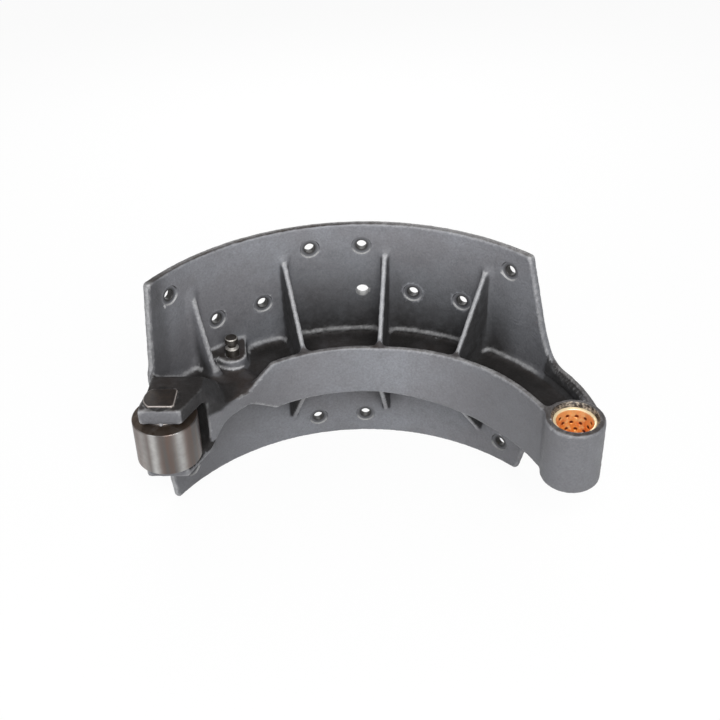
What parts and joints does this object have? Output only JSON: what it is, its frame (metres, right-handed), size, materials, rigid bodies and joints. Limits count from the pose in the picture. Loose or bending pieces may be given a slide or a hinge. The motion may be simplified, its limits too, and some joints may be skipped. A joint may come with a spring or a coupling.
{
  "type": "brake shoe",
  "caption": "Cast I-section drum brake shoe with rib-stiffened lining table, bushed anchor eye, return spring post and a fork carrying a free-turning cam roller.",
  "frame": {"origin": "centre of the anchor eye's bore, on the mid-plane of the web", "axes": "+Z along the anchor bore and the drum's axis, +Y from the drum's axis out through the middle of the lining table, +X from the cam roller towards the anchor eye"},
  "size_m": [0.3486, 0.1972, 0.212],
  "materials": {
    "painted_casting": "satin",
    "bronze_bush": "satin",
    "ground_steel": "satin",
    "oiled_steel": "satin",
    "post_steel": "satin"
  },
  "bodies": {
    "shoe": {"shoe_casting": "painted_casting", "anchor_bush": "bronze_bush", "roller_pin": "oiled_steel", "spring_post": "post_steel"},
    "roller": {"cam_roller": "ground_steel"}
  },
  "joints": [
    {"name": "roller_spin", "type": "hinge", "parent": "shoe", "child": "roller", "pos_m": [-0.30075, 0.05133, 0], "axis": [0, 0, 1], "continuous": true}
  ]
}
